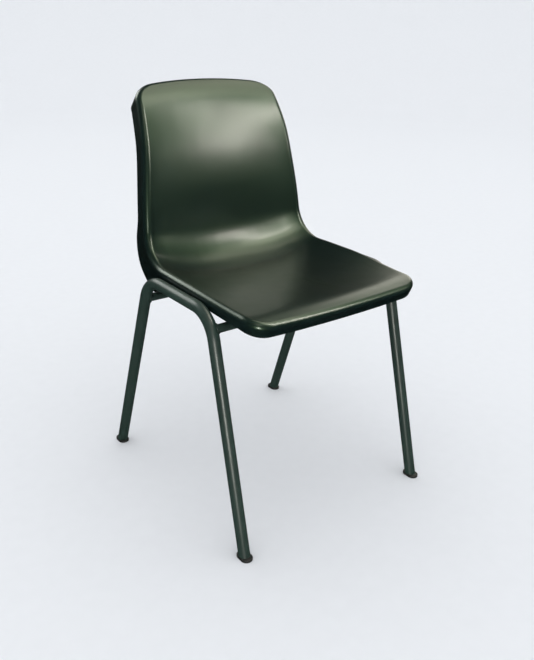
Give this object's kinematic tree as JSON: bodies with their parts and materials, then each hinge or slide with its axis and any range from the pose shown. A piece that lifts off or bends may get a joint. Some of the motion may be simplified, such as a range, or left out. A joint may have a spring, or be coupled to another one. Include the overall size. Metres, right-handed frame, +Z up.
{
  "type": "anti-static stacking chair",
  "caption": "Anti-static side chair: one-piece moulded plastic seat and back with a rolled edge, bolted to a bent steel tube frame with splayed legs, cross tubes and oval feet.",
  "frame": {"origin": "on the floor, at the centre of the bounding box in plan, midway between the feet", "axes": "+Z up from the floor, -Y the way the sitter faces, +X to the sitter's left"},
  "size_m": [0.4634, 0.516, 0.7802],
  "materials": {
    "shell_plastic": "black conductive plastic with a fine moulded grain and a soft sheen",
    "frame_paint": "green-black stove enamel on steel tube",
    "fixing_steel": "bright zinc-plated steel",
    "insert_brass": "turned brass",
    "foot_rubber": "black conductive rubber"
  },
  "bodies": {
    "root": {"seat_shell": "shell_plastic", "left_side_frame": "frame_paint", "right_side_frame": "frame_paint", "front_cross_tube": "frame_paint", "rear_cross_tube": "frame_paint", "front_left_screw": "fixing_steel", "front_right_screw": "fixing_steel", "rear_left_screw": "fixing_steel", "rear_right_screw": "fixing_steel", "front_left_washer": "fixing_steel", "front_right_washer": "fixing_steel", "rear_left_washer": "fixing_steel", "rear_right_washer": "fixing_steel", "front_left_insert": "insert_brass", "front_right_insert": "insert_brass", "rear_left_insert": "insert_brass", "rear_right_insert": "insert_brass", "front_left_foot": "foot_rubber", "front_right_foot": "foot_rubber", "rear_left_foot": "foot_rubber", "rear_right_foot": "foot_rubber"}
  },
  "joints": []
}
